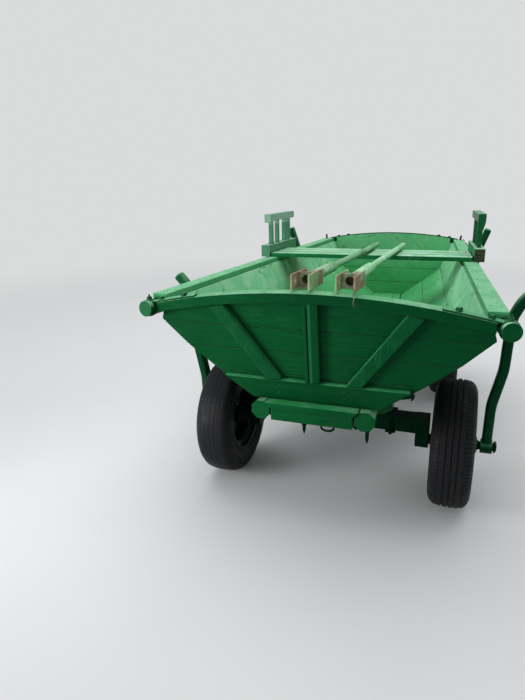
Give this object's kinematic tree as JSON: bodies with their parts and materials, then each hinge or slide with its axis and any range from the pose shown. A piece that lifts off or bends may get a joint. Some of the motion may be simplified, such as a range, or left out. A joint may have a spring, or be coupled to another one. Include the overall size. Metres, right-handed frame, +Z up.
{
  "type": "four-wheeled wooden farm cart",
  "caption": "Wooden farm cart with a boat-shaped plank body on four car tyres, a bench seat, curved side stakes and a steered front axle.",
  "frame": {"origin": "on the ground under the middle of the cart, midway between the axles", "axes": "+Z up, +Y towards the front, +X to the right"},
  "size_m": [1.7542, 2.608, 1.3399],
  "materials": {
    "painted_wood": "gloss green oil paint over planks, worn and dusty inside",
    "painted_steel": "gloss green oil paint, rust at the edges",
    "tyre": "worn road tyre with three grooves",
    "worn_tube": "pale worn paint on tube, rusty fork",
    "bare_steel": "bare steel, brown with rust"
  },
  "bodies": {
    "cart": {"floor_boards": "painted_wood", "rear_boards": "painted_wood", "rear_arch_beam": "painted_wood", "rear_battens": "painted_wood", "rear_ledge": "painted_wood", "rear_cross_board": "painted_wood", "front_boards": "painted_wood", "front_arch_beam": "painted_wood", "front_battens": "painted_wood", "front_ledge": "painted_wood", "rear_bolster": "painted_wood", "front_bolster": "painted_wood", "reach_pole": "painted_wood", "rear_axle": "painted_steel", "king_pin": "bare_steel", "seat_slats": "painted_wood", "side_planks_left": "painted_wood", "side_ribs_left": "painted_wood", "rail_plank_left": "painted_wood", "rail_pole_left": "painted_wood", "sill_left": "painted_wood", "rear_stake_left": "painted_wood", "seat_beam_left": "painted_wood", "armrest_left": "painted_wood", "shaft_left": "worn_tube", "side_planks_right": "painted_wood", "side_ribs_right": "painted_wood", "rail_plank_right": "painted_wood", "rail_pole_right": "painted_wood", "sill_right": "painted_wood", "rear_stake_right": "painted_wood", "seat_beam_right": "painted_wood", "armrest_right": "painted_wood", "shaft_right": "worn_tube"},
    "front_axle": {"front_axle": "painted_steel", "shaft_lugs": "painted_steel"},
    "rear_wheel_left": {"rear_tyre_left": "tyre", "rear_wheel_left": "painted_steel"},
    "rear_wheel_right": {"rear_tyre_right": "tyre", "rear_wheel_right": "painted_steel"},
    "front_wheel_left": {"front_tyre_left": "tyre", "front_wheel_left": "painted_steel"},
    "front_wheel_right": {"front_tyre_right": "tyre", "front_wheel_right": "painted_steel"},
    "front_stake_left": {"front_stake_left": "painted_wood"},
    "front_stake_right": {"front_stake_right": "painted_wood"}
  },
  "joints": [
    {"name": "steering", "type": "hinge", "parent": "cart", "child": "front_axle", "pos_m": [0, 0.75, 0.4], "axis": [0, 0, 1], "range_deg": [-28, 28]},
    {"name": "rear_wheel_left_spin", "type": "hinge", "parent": "cart", "child": "rear_wheel_left", "pos_m": [-0.578, -0.75, 0.31], "axis": [1, 0, 0], "continuous": true},
    {"name": "rear_wheel_right_spin", "type": "hinge", "parent": "cart", "child": "rear_wheel_right", "pos_m": [0.578, -0.75, 0.31], "axis": [1, 0, 0], "continuous": true},
    {"name": "front_wheel_left_spin", "type": "hinge", "parent": "front_axle", "child": "front_wheel_left", "pos_m": [-0.488, 0.75, 0.31], "axis": [1, 0, 0], "continuous": true},
    {"name": "front_wheel_right_spin", "type": "hinge", "parent": "front_axle", "child": "front_wheel_right", "pos_m": [0.488, 0.75, 0.31], "axis": [1, 0, 0], "continuous": true},
    {"name": "front_stake_left_lean", "type": "hinge", "parent": "front_axle", "child": "front_stake_left", "pos_m": [-0.64, 0.75, 0.31], "axis": [1, 0, 0], "range_deg": [-26, 26]},
    {"name": "front_stake_right_lean", "type": "hinge", "parent": "front_axle", "child": "front_stake_right", "pos_m": [0.64, 0.75, 0.31], "axis": [1, 0, 0], "range_deg": [-26, 26]}
  ],
  "couplings": [
    {"joint": "front_stake_left_lean", "follows": "steering", "ratio": -0.9},
    {"joint": "front_stake_right_lean", "follows": "steering", "ratio": 0.9}
  ]
}
